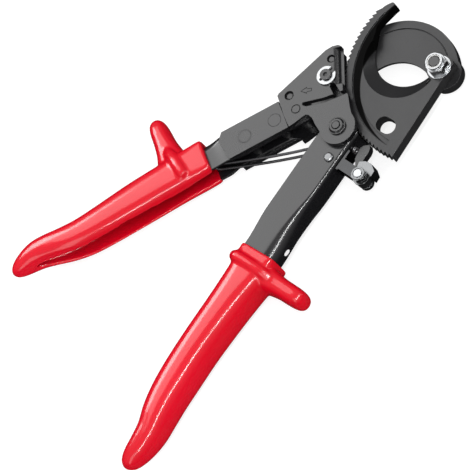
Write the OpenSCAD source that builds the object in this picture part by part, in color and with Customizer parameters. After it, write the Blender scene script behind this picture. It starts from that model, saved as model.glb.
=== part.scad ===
// Ratchet cable cutter. Origin: on the handle pivot axis, at the flat end of the
// pivot bolt's head, which is the plane the tool lies on. +X runs along the fixed
// handle towards the blades, +Y towards the moving handle, +Z up through the plates.
// "Back" is the low Z side and "front" the high Z side.

/* [Stack through the plates] */
// Height of the pivot bolt's head under the back plate
bolt_head_h = 2.4; // [2:0.1:3]
// Thickness of each head plate
plate_t = 3; // [2.6:0.1:3.4]
// Wall of the pressed steel handle channels
wall_t = 1.5; // [1.2:0.1:1.8]
// Thickness of the fixed blade
fixed_blade_t = 5; // [4.6:0.1:5.2]
// Thickness of the toothed moving blade
moving_blade_t = 6.1; // [5.8:0.1:6.2]
// Side play left between neighbouring flat faces
side_gap = 0.15; // [0.1:0.01:0.2]

/* [Toothed blade] */
// Radius to the tooth tips, from the blade pivot
tooth_r = 50; // [49.6:0.1:50]
// Depth of the ratchet teeth
tooth_d = 1.3; // [0.9:0.1:1.6]
// Angle from one tooth to the next
tooth_pitch = 3; // [2.5:0.5:3]
// Radius of the cutting edge on the shear plane
edge_r = 18.1; // [17:0.1:18.4]
// Radius of the bevel's outer rim on the front face
bevel_r = 20.6; // [20:0.1:21]
// Depth of the crescent groove behind the teeth
groove_d = 0.8; // [0.3:0.1:1.5]

/* [Fixed blade] */
// Outer radius of the C-shaped rim
rim_r = 31.9; // [31:0.1:32.5]
// Radius of the fixed cutting edge
fixed_edge_r = 20.4; // [20:0.1:21]

/* [Pivots and pins] */
// Radius of the handle pivot bolt's shank
bolt_r = 3.5; // [3:0.1:3.6]
// Radius of the blade pivot screw's shank
screw_r = 3; // [2.5:0.1:3.2]
// Radius of the feed pawl's pin
pawl_pin_r = 2.4; // [2:0.1:2.5]
// Radial play of a turning fit
play = 0.05; // [0.03:0.01:0.08]

/* [Handles] */
// Width of the fixed handle channel
channel_w = 18.5; // [17.5:0.5:19]
// Radius of the pressed bends
bend_r = 2.6; // [2:0.1:3]
// Depth of both dipped grips
grip_d = 19.8; // [19:0.2:21]

/* [Springs] */
// Wire radius of the handle return spring
wire_r = 0.75; // [0.6:0.05:0.8]
// Distance between the return spring's two legs
leg_gap = 5.6; // [4.8:0.1:6]

/* [Hidden] */
$fn = 64;
eps = 0.01;   // overlap that fuses touching solids

// heights, from back to front
back_z0 = bolt_head_h;                 // back plate
back_z1 = back_z0 + plate_t;
chan_z0 = back_z1 + side_gap;          // fixed channel, outside
chan_in0 = chan_z0 + wall_t;           // inside of its back wall
shear_z = chan_in0 + fixed_blade_t;    // shear plane
blade_z0 = shear_z + 0.05;             // toothed blade
blade_z1 = blade_z0 + moving_blade_t;
chan_in1 = blade_z1 + side_gap;        // inside of the channel's front wall
chan_z1 = chan_in1 + wall_t;
front_z0 = chan_z1 + side_gap;         // front plate
front_z1 = front_z0 + plate_t;
mid_z = (chan_z0 + chan_z1) / 2;

// the fixed channel's two long edges
chan_y0 = -9.8;
chan_y1 = chan_y0 + channel_w;

// The moving handle leaves the pivot at this angle. Its own frame has x along the
// handle and y outward, away from the fixed handle.
hand_a = 148;
function hand_pt(x, y) = [x * cos(hand_a) + y * sin(hand_a), x * sin(hand_a) - y * cos(hand_a)];

// pivots
axis = [0, 0];
blade_at = [50.5, -25.9];
// pins on the head plates
feed_at = [19.0, 21.7];
stud_at = [1.5, 33.2];
stud_r = 2.4;
stop_at = [27.5, 25.5];
stop_r = 2.1;
// rivets on the moving handle, in its own frame
spacer_in_hand = [15.7, 20.2];
spacer_r = 2.4;
strap_rivets_in_hand = [[27.6, 20.4], [44.3, 20.4]];
strap_rivet_r = 2.6;
spacer_at = hand_pt(spacer_in_hand[0], spacer_in_hand[1]);
strap_rivets_at = [for (p = strap_rivets_in_hand) hand_pt(p[0], p[1])];
// pins and rivets on the fixed handle
hold_at = [-14.6, -23.9];              // holding pawl screw
hold_r = 2;
spring_at = [-14.7, -4.2];             // return spring pin
spring_pin_r = 2;
blade_rivets_at = [[-5.6, 4.4], [3.4, -5.4]];
blade_rivet_r = 2;

// ---- helpers ----
module at_point(p, z = 0) { translate([p[0], p[1], z]) children(); }
module at_blade() { at_point(blade_at) children(); }
module in_hand() { rotate(hand_a) mirror([0, 1, 0]) children(); }
module disc(p, r, z0, z1) { at_point(p, z0) cylinder(r = r, h = z1 - z0); }
module slab(z0, z1) { translate([0, 0, z0]) linear_extrude(z1 - z0) children(); }
module steel() { color([0.10, 0.10, 0.11]) children(); }
module plated() { color([0.80, 0.81, 0.83]) children(); }
module vinyl() { color([0.82, 0.04, 0.08]) children(); }
module spring_wire() { color([0.6, 0.6, 0.62]) children(); }
// closed coil along +Z: one ring per turn, joined by a short wire down its side
module coil(coil_r, coil_wire_r, turns, h) {
  for (i = [0:turns])
    translate([0, 0, i * h / turns])
      rotate_extrude($fn = 32) translate([coil_r, 0]) circle(r = coil_wire_r, $fn = 16);
  translate([coil_r, 0, 0]) cylinder(r = coil_wire_r * 0.8, h = h, $fn = 16);
}

// Tables named *_plan are outlines seen from +Z, as [x, y] points.

// ---- fixed handle ----
chan_plan = [
  [9.6, 1.2], [9.6, chan_y1 - 2], [7.6, chan_y1], [-40, chan_y1 + 0.2], [-62, chan_y1 - 0.5],
  [-72, chan_y1 - 0.3], [-90, 7.2], [-140, 6.2], [-170, 1], [-176, -3], [-174, -8],
  [-150, -10.2], [-120, -9], [-90, -9.6], [-70, chan_y0 - 0.3], [-40, chan_y0], [2.4, chan_y0],
  [4.6, chan_y0 + 3.4], [8.4, -3.2]];
// everything below the inner face of the web, which joins the walls on the -Y side
web_plan = [
  [2.4, chan_y0 - 2], [2.4, chan_y0 + wall_t], [-40, chan_y0 + wall_t],
  [-70, chan_y0 - 0.3 + wall_t], [-90, -9.6 + wall_t], [-120, -9 + wall_t],
  [-150, -10.2 + wall_t], [-172, -8 + wall_t], [-176, -14]];
bend_x0 = -73;
bend_x1 = 2.4;
bend_fill_h = 1.2;
// slot through the web
web_slot_x = -66.5;
web_slot_r = 1.1;
web_slot_half = 1.6;   // from its middle to each end's centre
// tabs of the pawl bracket, and their holes in the web
tab_xs = [-16.1, -8.5];
tab_w = 1.5;
tab_h = 3.8;
tab_play = 0.1;

// cutter that rounds one long outside bend running along X; flip = 1 for the front one
module bend_cut(z, flip) {
  translate([bend_x0, chan_y0 - 0.31, z]) mirror([0, 0, flip]) difference() {
    translate([0, -1, -1]) cube([80, 1 + bend_r, 1 + bend_r]);
    translate([-1, bend_r, bend_r]) rotate([0, 90, 0]) cylinder(r = bend_r, h = 82);
  }
}
module fixed_handle() {
  steel() difference() {
    union() {
      slab(chan_z0, chan_in0) polygon(chan_plan);
      slab(chan_in1, chan_z1) polygon(chan_plan);
      slab(chan_z0, chan_z1) intersection() {
        polygon(chan_plan);
        polygon(web_plan);
      }
      // solid bends, so the rounded corners keep their thickness
      for (z = [chan_in0 - eps, chan_in1 - bend_fill_h + eps])
        translate([bend_x0, chan_y0 + 0.2, z]) cube([bend_x1 - bend_x0, 3, bend_fill_h]);
    }
    bend_cut(chan_z0, 0);
    bend_cut(chan_z1, 1);
    disc(axis, bolt_r, chan_z0 - 1, chan_z1 + 1);
    disc(spring_at, spring_pin_r, chan_z0 - 1, chan_z1 + 1);
    for (p = blade_rivets_at) disc(p, blade_rivet_r, chan_z0 - 1, chan_in0 + 3);
    // slot in the web, near the grip
    translate([web_slot_x, 0, mid_z]) rotate([90, 0, 0]) union() {
      for (x = [-web_slot_half, web_slot_half])
        translate([x, 0, 0]) cylinder(r = web_slot_r, h = 30);
      translate([-web_slot_half, -web_slot_r, 0]) cube([2 * web_slot_half, 2 * web_slot_r, 30]);
    }
    for (x = tab_xs)
      translate([x - tab_play, chan_y0 - 3, mid_z - tab_h / 2 - tab_play])
        cube([tab_w + 2 * tab_play, 6, tab_h + 2 * tab_play]);
  }
}
module blade_rivets() {
  steel() for (p = blade_rivets_at) disc(p, blade_rivet_r, chan_z0, shear_z);
}

// ---- fixed blade; plans and centres are measured from the blade pivot ----
rim_at = [-14.3, 19.9];
fixed_edge_at = [-23.7, 14.6];
arm_plan = [[-44, 8.6], [-47.3, 10.4], [-47.3, 19.6], [-60, 19.6], [-60, 33.8], [-40, 33.8],
  [-25, 44], [-25, 20]];
mouth_plan = [fixed_edge_at, [-49.3, 9.6], [-52, -6], [-48, -24], [0.5, -24], [0.5, -4], [-5, 7]];

module c_shape() {
  difference() {
    union() {
      difference() {
        union() {
          intersection() {
            at_point(rim_at) circle(r = rim_r, $fn = 96);
            circle(r = 48, $fn = 96);
          }
          // arm back to the handle
          intersection() {
            circle(r = 56, $fn = 96);
            polygon(arm_plan);
          }
        }
        // mouth between the eye and the arm
        polygon(mouth_plan);
      }
      // eye
      circle(r = 8.8);
    }
    at_point(fixed_edge_at) circle(r = fixed_edge_r, $fn = 96);
  }
}
module fixed_blade() {
  seat_y0 = chan_y0 + wall_t + 1.9;
  steel() difference() {
    union() {
      at_blade() slab(chan_in0, shear_z) c_shape();
      // end around the pivot bolt, inside the channel
      slab(chan_in0, shear_z) intersection() {
        translate([-1, 0]) circle(r = 9.2);
        translate([-12, seat_y0]) square([24, chan_y1 - seat_y0]);
      }
    }
    // bevel on the back, away from the shear plane
    at_blade() at_point(fixed_edge_at, chan_in0 - eps)
      cylinder(r1 = fixed_edge_r + 2.8, r2 = fixed_edge_r, h = 3.4, $fn = 96);
    // fine step inside the rim
    at_blade() at_point(rim_at + [1, 0], shear_z - 0.6) rotate([0, 0, -40])
      rotate_extrude(angle = 112, $fn = 120) translate([26.3, 0]) square([0.7, 1]);
    at_blade() disc(axis, screw_r, chan_in0 - 1, shear_z + 1);
    disc(axis, bolt_r, chan_in0 - 1, shear_z + 1);
    for (p = blade_rivets_at) disc(p, blade_rivet_r, chan_in0 - 1, shear_z + 1);
  }
}

// ---- handle pivot ----
bolt_end_h = 0.9;   // shank standing out of the front plate, inside the nut

module pivot_bolt() {
  head_z1 = back_z0 - 0.05;
  steel() union() {
    disc(axis, 5.2, 0, head_z1);
    disc(axis, bolt_r, head_z1 - eps, front_z1 + bolt_end_h);
    disc(axis, 1.9, front_z1 + 0.8, front_z1 + 2.2);
  }
}
module pivot_nut() {
  steel() difference() {
    union() {
      disc(axis, 4.5, front_z1 + 0.05, front_z1 + bolt_end_h);
      at_point(axis, front_z1 + bolt_end_h - eps) cylinder(r1 = 4.1, r2 = 3.3, h = 0.9);
    }
    disc(axis, bolt_r, front_z1 - 1, front_z1 + bolt_end_h);
    disc(axis, 2.3, front_z1 - 1, front_z1 + 3);
  }
}

// ---- blade pivot ----
screw_z1 = blade_z1 + 7.2;   // where the shank's end chamfer starts
nut_r = 6.2;                 // round envelope of the nut, and the washer
nut_cone_h = 2.6;
nut_z0 = blade_z1 + 0.85;

module blade_screw() {
  head_z0 = chan_in0 - 2.5;
  head_cone_h = 0.8;
  plated() at_blade() union() {
    at_point(axis, head_z0) cylinder(r1 = 4.6, r2 = 5.4, h = head_cone_h);
    disc(axis, 5.4, head_z0 + head_cone_h, chan_in0 - 0.02);
    disc(axis, screw_r, chan_in0 - 0.03, screw_z1);
    at_point(axis, screw_z1 - eps) cylinder(r1 = screw_r, r2 = screw_r - 0.4, h = 0.5);
  }
}
module nut_hexagon(h) { rotate(10) cylinder(r = 5.77, h = h, $fn = 6); }
// straight cylinder with a cone on top, for chamfering the nut's upper corners
module nut_envelope(straight_h) {
  cylinder(r = nut_r, h = straight_h);
  translate([0, 0, straight_h - eps]) cylinder(r1 = nut_r, r2 = 5.0, h = 1.0);
}
module blade_nut() {
  upper_z0 = blade_z1 + 3.4;
  plated() at_blade() difference() {
    union() {
      // lower part of the hexagon, its corners chamfered by a cone
      intersection() {
        at_point(axis, nut_z0) nut_hexagon(5.2);
        at_point(axis, nut_z0) cylinder(r1 = 5.3, r2 = 7.9, h = nut_cone_h);
        at_point(axis, nut_z0) nut_envelope(4.2);
      }
      // upper part
      intersection() {
        at_point(axis, upper_z0) nut_hexagon(2.65);
        at_point(axis, upper_z0) nut_envelope(1.65);
      }
      // locking collar
      disc(axis, 4.35, blade_z1 + 5.9, blade_z1 + 8.0);
    }
    disc(axis, screw_r, blade_z1, blade_z1 + 7.8);
    disc(axis, 3.6, blade_z1 + 7.0, blade_z1 + 9);
  }
}
module blade_washer() {
  plated() at_blade() difference() {
    disc(axis, nut_r, blade_z1 + 0.05, blade_z1 + 0.8);
    disc(axis, screw_r + 0.05, blade_z1, blade_z1 + 1);
  }
}

// ---- pawl bracket ----
bracket_z0 = blade_z0 - 1.5;
bracket_z1 = blade_z0 + 6.6;
bracket_leg_t = 1.2;
bracket_base_t = 1.3;
bracket_leg_plan = [[-17.0, chan_y0 - 1.5], [-17.6, -22.6], [-12.2, -25.0], [-11.6, -20.2],
  [-11.2, chan_y0 - 1.5]];

module pawl_bracket() {
  plated() difference() {
    union() {
      // base against the -Y side of the handle
      translate([-17.6, chan_y0 - 0.36 - bracket_base_t, bracket_z0])
        cube([11.2, bracket_base_t, bracket_z1 - bracket_z0]);
      for (x = tab_xs) translate([x, chan_y0 - 0.5, mid_z - tab_h / 2]) cube([tab_w, 3.0, tab_h]);
      for (z = [bracket_z0, bracket_z1 - bracket_leg_t]) slab(z, z + bracket_leg_t) {
        at_point(hold_at) circle(r = 3.3);
        polygon(bracket_leg_plan);
      }
    }
    disc(hold_at, hold_r, 0, 30);
  }
}
module bracket_screw() {
  plated() union() {
    disc(hold_at, 3.6, bracket_z0 - 2.1, bracket_z0 - 0.02);
    disc(hold_at, hold_r, bracket_z0 - 0.1, bracket_z1 + 3);
  }
}
module bracket_nut() {
  plated() difference() {
    union() {
      at_point(hold_at, bracket_z1 + 0.02) rotate(20) cylinder(r = 4.05, h = 1.9, $fn = 6);
      disc(hold_at, 3.3, bracket_z1 + 1.8, bracket_z1 + 2.7);
    }
    disc(hold_at, hold_r, 0, 30);
    disc(hold_at, 2.6, bracket_z1 + 2.3, 30);
  }
}
module spring_pin() {
  head_r = 2.3;
  head_z1 = chan_z1 + 0.9;
  plated() union() {
    disc(spring_at, 3.0, chan_z0 - 1.0, chan_z0 - 0.02);
    disc(spring_at, spring_pin_r, chan_z0 - 0.1, chan_z1 + 0.2);
    disc(spring_at, head_r, chan_z1 + 0.03, head_z1);
    at_point(spring_at, head_z1 - eps) cylinder(r1 = head_r, r2 = 1.7, h = 0.4);
  }
}

// ---- grips ----
grip_half = grip_d / 2;
grip_fit = 0.05;     // cavity height beyond each face of the handle
grip_offset = 0.06;  // cavity beyond the handle's outline
fixed_grip_plan = [
  [-72, 8.4], [-84, 9], [-124, 8.4], [-142, 7.6], [-154, 6.2], [-164, 3.8], [-174, 0.4],
  [-188, -1], [-192.6, -4], [-193.6, -6.4], [-192.2, -9], [-187, -12.4], [-174, -14.6],
  [-154, -12.9], [-124, -11.9], [-84, -14], [-72, -13.4]];
fixed_guard_plan = [[-75.6, -10], [-87, -10], [-85.4, -30], [-84.8, -33.6], [-79.2, -33.6],
  [-77.6, -24]];
// side profiles: [x, half height about mid_z]
fixed_grip_side = [[-71, grip_half + 1], [-150, grip_half + 1], [-162, grip_half - 0.4],
  [-178, 7.8], [-190, 5], [-194, 2.4]];
moving_grip_side = [[60, grip_half + 1], [136, grip_half + 1], [150, grip_half - 0.6],
  [166, 8], [176, 6], [181, 3]];
// in the moving handle's frame
moving_grip_plan = [
  [67, 33.0], [86, 33.4], [108, 31.8], [135, 28.5], [146, 28.4], [155, 29.2], [165, 30.2],
  [172, 27.6], [177, 25], [180, 22.6], [180, 19.4], [176, 17.2], [165, 16.6], [155, 14.8],
  [146, 11.8], [135, 10.7], [108, 11.2], [86, 12.6], [67, 14.6]];
moving_guard_plan = [[78.6, 31], [90.6, 31], [89, 46], [87.4, 53.2], [81.8, 53.2], [80, 44]];

// plan and side profile intersected, plus the thumb guard with its round tip
module grip_body(plan, side, guard_plan, guard_tip) {
  intersection() {
    slab(mid_z - grip_half, mid_z + grip_half) polygon(plan);
    translate([0, 60, 0]) rotate([90, 0, 0]) linear_extrude(120)
      polygon(concat([for (p = side) [p[0], mid_z + p[1]]],
        [for (i = [len(side) - 1:-1:0]) [side[i][0], mid_z - side[i][1]]]));
  }
  slab(mid_z - 6.6, mid_z + 6.6) {
    polygon(guard_plan);
    at_point(guard_tip) circle(r = 2.8);
  }
}
module fixed_grip() {
  vinyl() difference() {
    grip_body(fixed_grip_plan, fixed_grip_side, fixed_guard_plan, [-82, -33.6]);
    slab(chan_z0 - grip_fit, chan_z1 + grip_fit) offset(delta = grip_offset) polygon(chan_plan);
  }
}

// ---- toothed blade; plans and centres are measured from the blade pivot ----
tooth_count = 37;
first_tooth_a = 187.7;
gullet_a = 0.35;   // from a tooth tip to the gullet before it
moving_edge_at = [0.3, 22.5];
blade_back_plan = [[3, -5.0], [-6.4, -5.0], [-48.6, -6.75]];
blade_front_plan = [[11.9, 47.1], [13.6, 46.5], [15.4, 45.4], [16.9, 44.2], [17.2, 43.4],
  [16.6, 42.0], [14, 38], [2, 20], [4.6, 0]];
cutout_plan = [moving_edge_at, [0.6, 4], [14, 2], [40, 20], [26, 38], [14.7, 42.1], [6.9, 43.8],
  [2.9, 44.1], [-7.7, 38.9]];
finger_at = [-37.4, 5.0];
finger_r = 3.9;
finger_l = 3.2;   // between the slot's end centres

// gullet, then tip, of the tooth whose tip is at the given angle
function tooth(a) = [(tooth_r - tooth_d) * [cos(a + gullet_a), sin(a + gullet_a)],
                     tooth_r * [cos(a), sin(a)]];
teeth_plan = [for (i = [0:tooth_count - 1]) for (p = tooth(first_tooth_a - i * tooth_pitch)) p];

// cutting edge on the shear plane, bevel opening to the front
module cutout() {
  at_point(moving_edge_at, blade_z0 - 1) cylinder(r = edge_r, h = 2.0, $fn = 96);
  hull() {
    at_point(moving_edge_at, blade_z0 + 0.9) cylinder(r = edge_r, h = 0.1, $fn = 96);
    translate([-5.2, 20.4, blade_z1]) cylinder(r = bevel_r, h = 0.1, $fn = 96);
  }
  translate([0, 0, blade_z0 - 1]) linear_extrude(10) polygon(cutout_plan);
}
module moving_blade() {
  eye_r = 7;
  steel() difference() {
    union() {
      difference() {
        at_blade() slab(blade_z0, blade_z1)
          polygon(concat(blade_back_plan, teeth_plan, blade_front_plan));
        at_blade() cutout();
        // small notch where the bevel meets the eye
        at_blade() translate([-8.8, 1.6, blade_z0 + 3]) cylinder(r = 1.3, h = 10);
      }
      // eye around the pivot screw, level with the straight back
      at_blade() slab(blade_z0, blade_z1) difference() {
        circle(r = eye_r);
        translate([-9, -15]) square([18, 10]);
      }
    }
    at_blade() disc(axis, screw_r + play, blade_z0 - 1, blade_z1 + 1);
    // crescent groove behind the teeth
    at_blade() slab(blade_z1 - groove_d, blade_z1 + 1) difference() {
      intersection() {
        circle(r = 45.8, $fn = 120);
        polygon([[0, 0], [-60, -0.3], [-60, 60], [14, 60], [8, 30]]);
      }
      translate([0.6, -1.4]) circle(r = 43.6, $fn = 120);
    }
    // finger slot
    at_blade() slab(blade_z0 - 1, blade_z1 + 1) {
      for (y = [0, finger_l]) at_point(finger_at + [0, y]) circle(r = finger_r);
      at_point(finger_at - [finger_r, 0]) square([2 * finger_r, finger_l]);
    }
  }
}

// ---- holding pawl ----
hold_z0 = blade_z0 + 0.1;
hold_z1 = blade_z0 + 4.1;
lever_z1 = hold_z1 + 1.0;
holding_pawl_plan = [[-15.4, -20.9], [-8.4, -14.6], [-2.6, -13.4], [-0.6, -14.3], [1.21, -17.03],
  [-0.3, -18.4], [-2.6, -19.0], [-6.4, -18.9], [-8.0, -19.6], [-11.8, -25.4], [-14.4, -24.2]];
lever_plan = [[-15.2, -19.7], [-8.6, -18.2], [-6.9, -21.0], [-6.7, -24.6], [-9.0, -28.2],
  [-14.0, -28.1]];
thumb_tab_plan = [[-6.7, -24.9], [-9.0, -28.3], [-12.2, -28.5], [-12.2, -27.4], [-9.7, -27.3],
  [-7.9, -24.8], [-7.9, -22.0], [-6.7, -22.0]];

module holding_pawl() {
  steel() difference() {
    union() {
      disc(hold_at, 3.9, hold_z0, hold_z1);
      slab(hold_z0, hold_z1) polygon(holding_pawl_plan);
    }
    disc(hold_at, hold_r + play, 0, 30);
  }
}
module release_lever() {
  plated() difference() {
    union() {
      slab(hold_z1, lever_z1) {
        at_point(hold_at) circle(r = 4.3);
        polygon(lever_plan);
      }
      // thumb tab folded over the edge
      slab(hold_z0 - 2.6, lever_z1) polygon(thumb_tab_plan);
    }
    disc(hold_at, hold_r + play, 0, 30);
  }
}
module holding_pawl_spring() {
  spring_wire() translate([-4.2, chan_y0 - 0.4, (hold_z0 + hold_z1) / 2]) rotate([90, 0, 0])
    coil(coil_r = 1.5, coil_wire_r = 0.28, turns = 1, h = 1.1);
}

// ---- moving handle and grip, in the handle's own frame ----
hand_z0 = back_z1;
hand_z1 = front_z0;
hand_plan = [
  [8.5, 15.2], [10.5, 13.2], [50, 13.2], [58, 14.8], [92, 14.8], [134, 12.6], [152, 15.6],
  [156, 17.5], [157, 22], [154, 26.0], [134, 25.6], [92, 30.0], [60, 30.6], [21.8, 29.6],
  [8.5, 23.0]];
// everything beyond the inner face of the web, on the outward side
hand_web_plan = [
  [21.8, 29.6 - wall_t], [60, 30.6 - wall_t], [92, 30.0 - wall_t], [134, 25.6 - wall_t],
  [152, 25.8 - wall_t], [155.5, 20], [172, 20], [172, 34], [21.8, 34]];

module moving_handle() {
  steel() in_hand() difference() {
    union() {
      slab(hand_z0, hand_z0 + wall_t) polygon(hand_plan);
      slab(hand_z1 - wall_t, hand_z1) polygon(hand_plan);
      slab(hand_z0, hand_z1) intersection() {
        polygon(hand_plan);
        polygon(hand_web_plan);
      }
    }
    for (p = strap_rivets_in_hand) disc(p, strap_rivet_r, 0, 40);
    disc(spacer_in_hand, spacer_r, 0, 40);
  }
}
module moving_grip() {
  open_h = 9.2;
  vinyl() in_hand() difference() {
    grip_body(moving_grip_plan, moving_grip_side, moving_guard_plan, [84.6, 53.2]);
    slab(hand_z0 - grip_fit, hand_z1 + grip_fit) offset(delta = grip_offset) polygon(hand_plan);
    // open side, facing the other handle
    translate([60, 0, mid_z - open_h / 2]) cube([98, 24, open_h]);
  }
}

// ---- head plates and strap ----
head_plan = [
  hand_pt(22.0, 28.9), [-1.6, 38.7], [-0.4, 38.9], [29.9, 30.9], [33.2, 29.0], [35.2, 26.6],
  [35.3, 24.7], [34.9, 24.3], [15.85, 8.63], [16.8, 6.9], [16.3, 5.6], [11.4, 0.5], [5.3, -6.9],
  [-7.2, 4.9], [-4.6, 11], [-2.5, 14.8], [-2.1, 17.6], [-2.7, 18.9], [-4.6, 19.9], [-9.8, 21.9],
  hand_pt(22.2, 13.2), hand_pt(22.5, 20)];
// slit between the upper part and the lobe, with the pin slot running off it
slit_plan = [
  [0.6, 24.1], [1.8, 24.4], [9.0, 16.0], [12.9, 12.6], [15.2, 16.8], [16.8, 17.4], [17.9, 16.2],
  [17.8, 15.2], [15.6, 10.4], [18.6, 7.6], [17.6, 5.6], [7.4, 13.8], [0.9, 21.6]];
// [centre, radius]
head_holes = [[axis, bolt_r + play], [feed_at, pawl_pin_r], [stud_at, stud_r], [stop_at, stop_r],
  [spacer_at, spacer_r]];
tongue_plan = [hand_pt(20.6, 28.4), hand_pt(54.5, 28.9), hand_pt(54.5, 15.8), hand_pt(20.6, 15.8)];
strap_plan = [hand_pt(22.4, 28.9), hand_pt(54.5, 28.95), hand_pt(57.5, 25), hand_pt(55.6, 13.1),
  hand_pt(22.6, 13.1)];
// plate edge that faces the teeth: its turn about the blade pivot, and its flange
flange_a = atan2(0.634, 0.772);
flange_gap = 0.35;   // beyond the tooth tips
flange_t = 1.5;
flange_z0 = shear_z + 0.2;
rivet_sink = 1.2;    // depth of the strap's counterbores

module head_outline() {
  difference() {
    union() {
      polygon(head_plan);
      circle(r = 9.3);
    }
    polygon(slit_plan);
    for (hole = head_holes) at_point(hole[0]) circle(r = hole[1]);
  }
}
module head_plate_front() {
  bend_z = front_z1 - plate_t;
  steel() difference() {
    union() {
      slab(front_z0, front_z1) head_outline();
      // flange folded down beside the teeth
      at_blade() rotate(flange_a) translate([0.4, tooth_r + flange_gap, flange_z0])
        cube([19.6, flange_t, front_z0 - flange_z0 + eps]);
    }
    // round outside of the fold
    at_blade() rotate(flange_a) difference() {
      translate([0.2, tooth_r - 4, bend_z + 0.1])
        cube([20.1, 4 + flange_gap + plate_t, plate_t + 1]);
      translate([-1, tooth_r + flange_gap + plate_t, bend_z])
        rotate([0, 90, 0]) cylinder(r = plate_t, h = 30);
    }
  }
}
module head_plate_back() {
  steel() difference() {
    union() {
      slab(back_z0, back_z1) head_outline();
      // tongue along the back of the handle
      slab(back_z0, back_z1) polygon(tongue_plan);
    }
    for (p = strap_rivets_at) disc(p, strap_rivet_r, 0, 10);
  }
}
module handle_strap() {
  steel() difference() {
    slab(front_z0, front_z1) polygon(strap_plan);
    for (p = strap_rivets_at) {
      disc(p, strap_rivet_r, 0, 40);
      disc(p, 3.4, front_z1 - rivet_sink, 40);
    }
  }
}
module strap_rivets() {
  steel() for (p = strap_rivets_at) {
    disc(p, strap_rivet_r, back_z0 - 0.3, front_z1 - rivet_sink + eps);
    disc(p, 3.3, front_z1 - rivet_sink, front_z1 + 0.05);
    disc(p, 3.6, back_z0 - 1.0, back_z0 - 0.02);
  }
}
module spacer_rivet() {
  steel() union() {
    disc(spacer_at, spacer_r, back_z0, front_z1 - 0.5);
    disc(spacer_at, 2.0, front_z1 - 0.6, front_z1 + 0.1);
    disc(spacer_at, 3.6, hand_z0 + wall_t + 0.05, hand_z1 - wall_t - 0.05);
  }
}

// ---- pins on the head plates ----
module feed_pawl_pin() {
  end_z = front_z1 + 2.2;
  plated() difference() {
    union() {
      disc(feed_at, pawl_pin_r, back_z0 - 1.6, end_z);
      disc(feed_at, 3.6, back_z1 + 0.02, blade_z0 - 0.1);
      disc(feed_at, 2.9, end_z - 0.6, end_z);
    }
    disc(feed_at, 1.1, end_z - 0.8, 40);
  }
}
// retaining clip: ring with one open slot and two small round reliefs
module clip(z) {
  slot_w = 3.2;
  at_point(feed_at, z) difference() {
    cylinder(r = 4.95, h = 0.8);
    translate([0, 0, -1]) cylinder(r = pawl_pin_r + 0.02, h = 3);
    translate([0, 0, -1]) rotate(-105) translate([-slot_w / 2, 0, 0]) cube([slot_w, 8, 3]);
    for (a = [-10, 160]) rotate(a) translate([3.2, 0, -1]) cylinder(r = 0.8, h = 3);
  }
}
module feed_pawl_clips() {
  plated() for (z = [front_z1 + 0.25, back_z0 - 1.1]) clip(z);
}
// thin core with a thicker end in each plate; the sinks are depths below the front face
module stepped_pin(p, core_r, end_r, core_sink, end_sink) {
  disc(p, core_r, back_z0 + 0.2, front_z1 - core_sink);
  disc(p, end_r, back_z0, back_z1 - 0.4);
  disc(p, end_r - 0.02, front_z0 + 0.1, front_z1 - end_sink);
}
module spring_stud() {
  plated() stepped_pin(stud_at, core_r = 1.5, end_r = stud_r, core_sink = 0.9, end_sink = 1.7);
}
module stop_pin() {
  plated() stepped_pin(stop_at, core_r = 1.4, end_r = stop_r, core_sink = 0.7, end_sink = 1.6);
}

// ---- feed pawl ----
feed_pawl_plan = [[14.7, 21.7], [15.6, 18.6], [8.6, 10.6], [5.6, 5.6], [5.1, 2.9], [6.3, 1.4],
  [8.5, 1.0], [12, 2], [18, 12], [22, 18.9]];

module feed_pawl() {
  steel() difference() {
    slab(blade_z0 + 0.1, blade_z1 - 0.1) difference() {
      union() {
        at_point(feed_at) circle(r = 4.35);
        polygon(feed_pawl_plan);
      }
      // hollow side follows the tooth tips
      at_blade() circle(r = tooth_r + 0.06, $fn = 120);
      // room for the front plate's flange
      at_blade() rotate(flange_a) translate([-0.2, 40])
        square([40, tooth_r + flange_gap + flange_t + 0.12 - 40]);
    }
    disc(feed_at, pawl_pin_r + play, 0, 40);
  }
}
module feed_pawl_spring() {
  along = [0.62, -0.78];
  spring_wire() at_point(spacer_at + 4.1 * along, (blade_z0 + blade_z1) / 2)
    rotate([0, 90, atan2(along[1], along[0])])
      coil(coil_r = 2.0, coil_wire_r = 0.35, turns = 7, h = 11.4);
}

// ---- return spring ----
loop_r = 3.3;
leg_r = wire_r * 0.86;   // half width of the square-section legs
leg_path = [spring_at + [0, loop_r], [-15.2, 9.4], hand_pt(61.5, 17.2), hand_pt(66.5, 20)];

function left_of(d) = [-d[1], d[0]];
function dir_of(a, b) = (b - a) / norm(b - a);
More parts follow.
